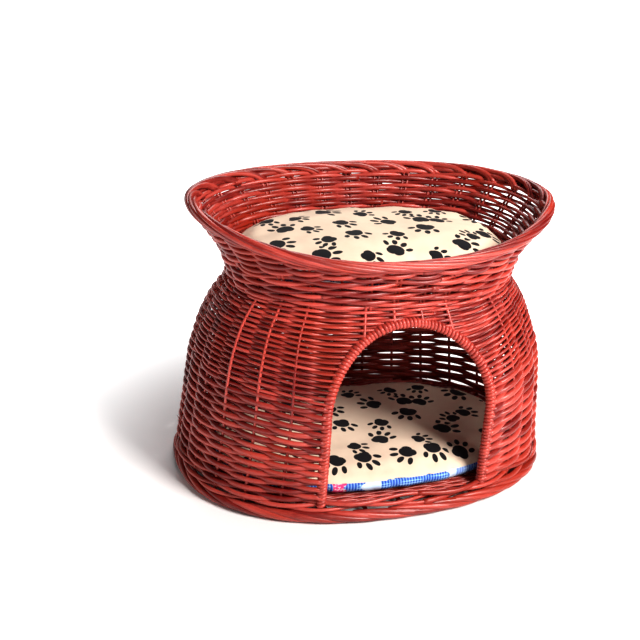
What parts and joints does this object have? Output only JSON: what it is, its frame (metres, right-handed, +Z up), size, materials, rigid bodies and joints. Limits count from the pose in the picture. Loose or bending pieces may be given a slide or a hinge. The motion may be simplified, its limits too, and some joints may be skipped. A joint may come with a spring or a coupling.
{
  "type": "wicker pet bed basket",
  "caption": "Two-storey oval wicker pet bed: a cushioned cave with an arched door under a flared open tray that holds a second cushion.",
  "frame": {"origin": "centre of the foot, on the surface that the basket stands on", "axes": "+X along the basket's length, -Y out of the arched door, +Z up"},
  "size_m": [0.5604, 0.4126, 0.4],
  "materials": {
    "red_willow": "gloss",
    "cushion_filling": "matte",
    "paw_cotton": "matte",
    "check_cotton": "matte"
  },
  "bodies": {
    "basket": {"foot_border": "red_willow", "floor_cross_sticks": "red_willow", "floor_long_sticks": "red_willow", "floor_weave": "red_willow", "bottom_wale": "red_willow", "lower_weave": "red_willow", "fine_weave": "red_willow", "neck_wale": "red_willow", "tray_weave": "red_willow", "rim_border": "red_willow", "wall_stakes": "red_willow", "door_head_stakes": "red_willow", "tray_bye_stakes": "red_willow", "door_hoop": "red_willow", "door_binding": "red_willow", "shelf_cross_sticks": "red_willow", "shelf_hoop": "red_willow", "shelf_long_sticks": "red_willow", "shelf_weave": "red_willow"},
    "floor_cushion": {"floor_cushion_filling": "cushion_filling", "floor_cushion_top_cloth": "paw_cotton", "floor_cushion_under_cloth": "check_cotton"},
    "tray_cushion": {"tray_cushion_filling": "cushion_filling", "tray_cushion_top_cloth": "paw_cotton", "tray_cushion_under_cloth": "check_cotton"}
  },
  "joints": [
    {"name": "floor_cushion_lift", "type": "slide", "parent": "basket", "child": "floor_cushion", "axis": [0, 0, 1], "range_m": [0, 0.06]},
    {"name": "tray_cushion_lift", "type": "slide", "parent": "basket", "child": "tray_cushion", "axis": [0, 0, 1], "range_m": [0, 0.16]}
  ]
}
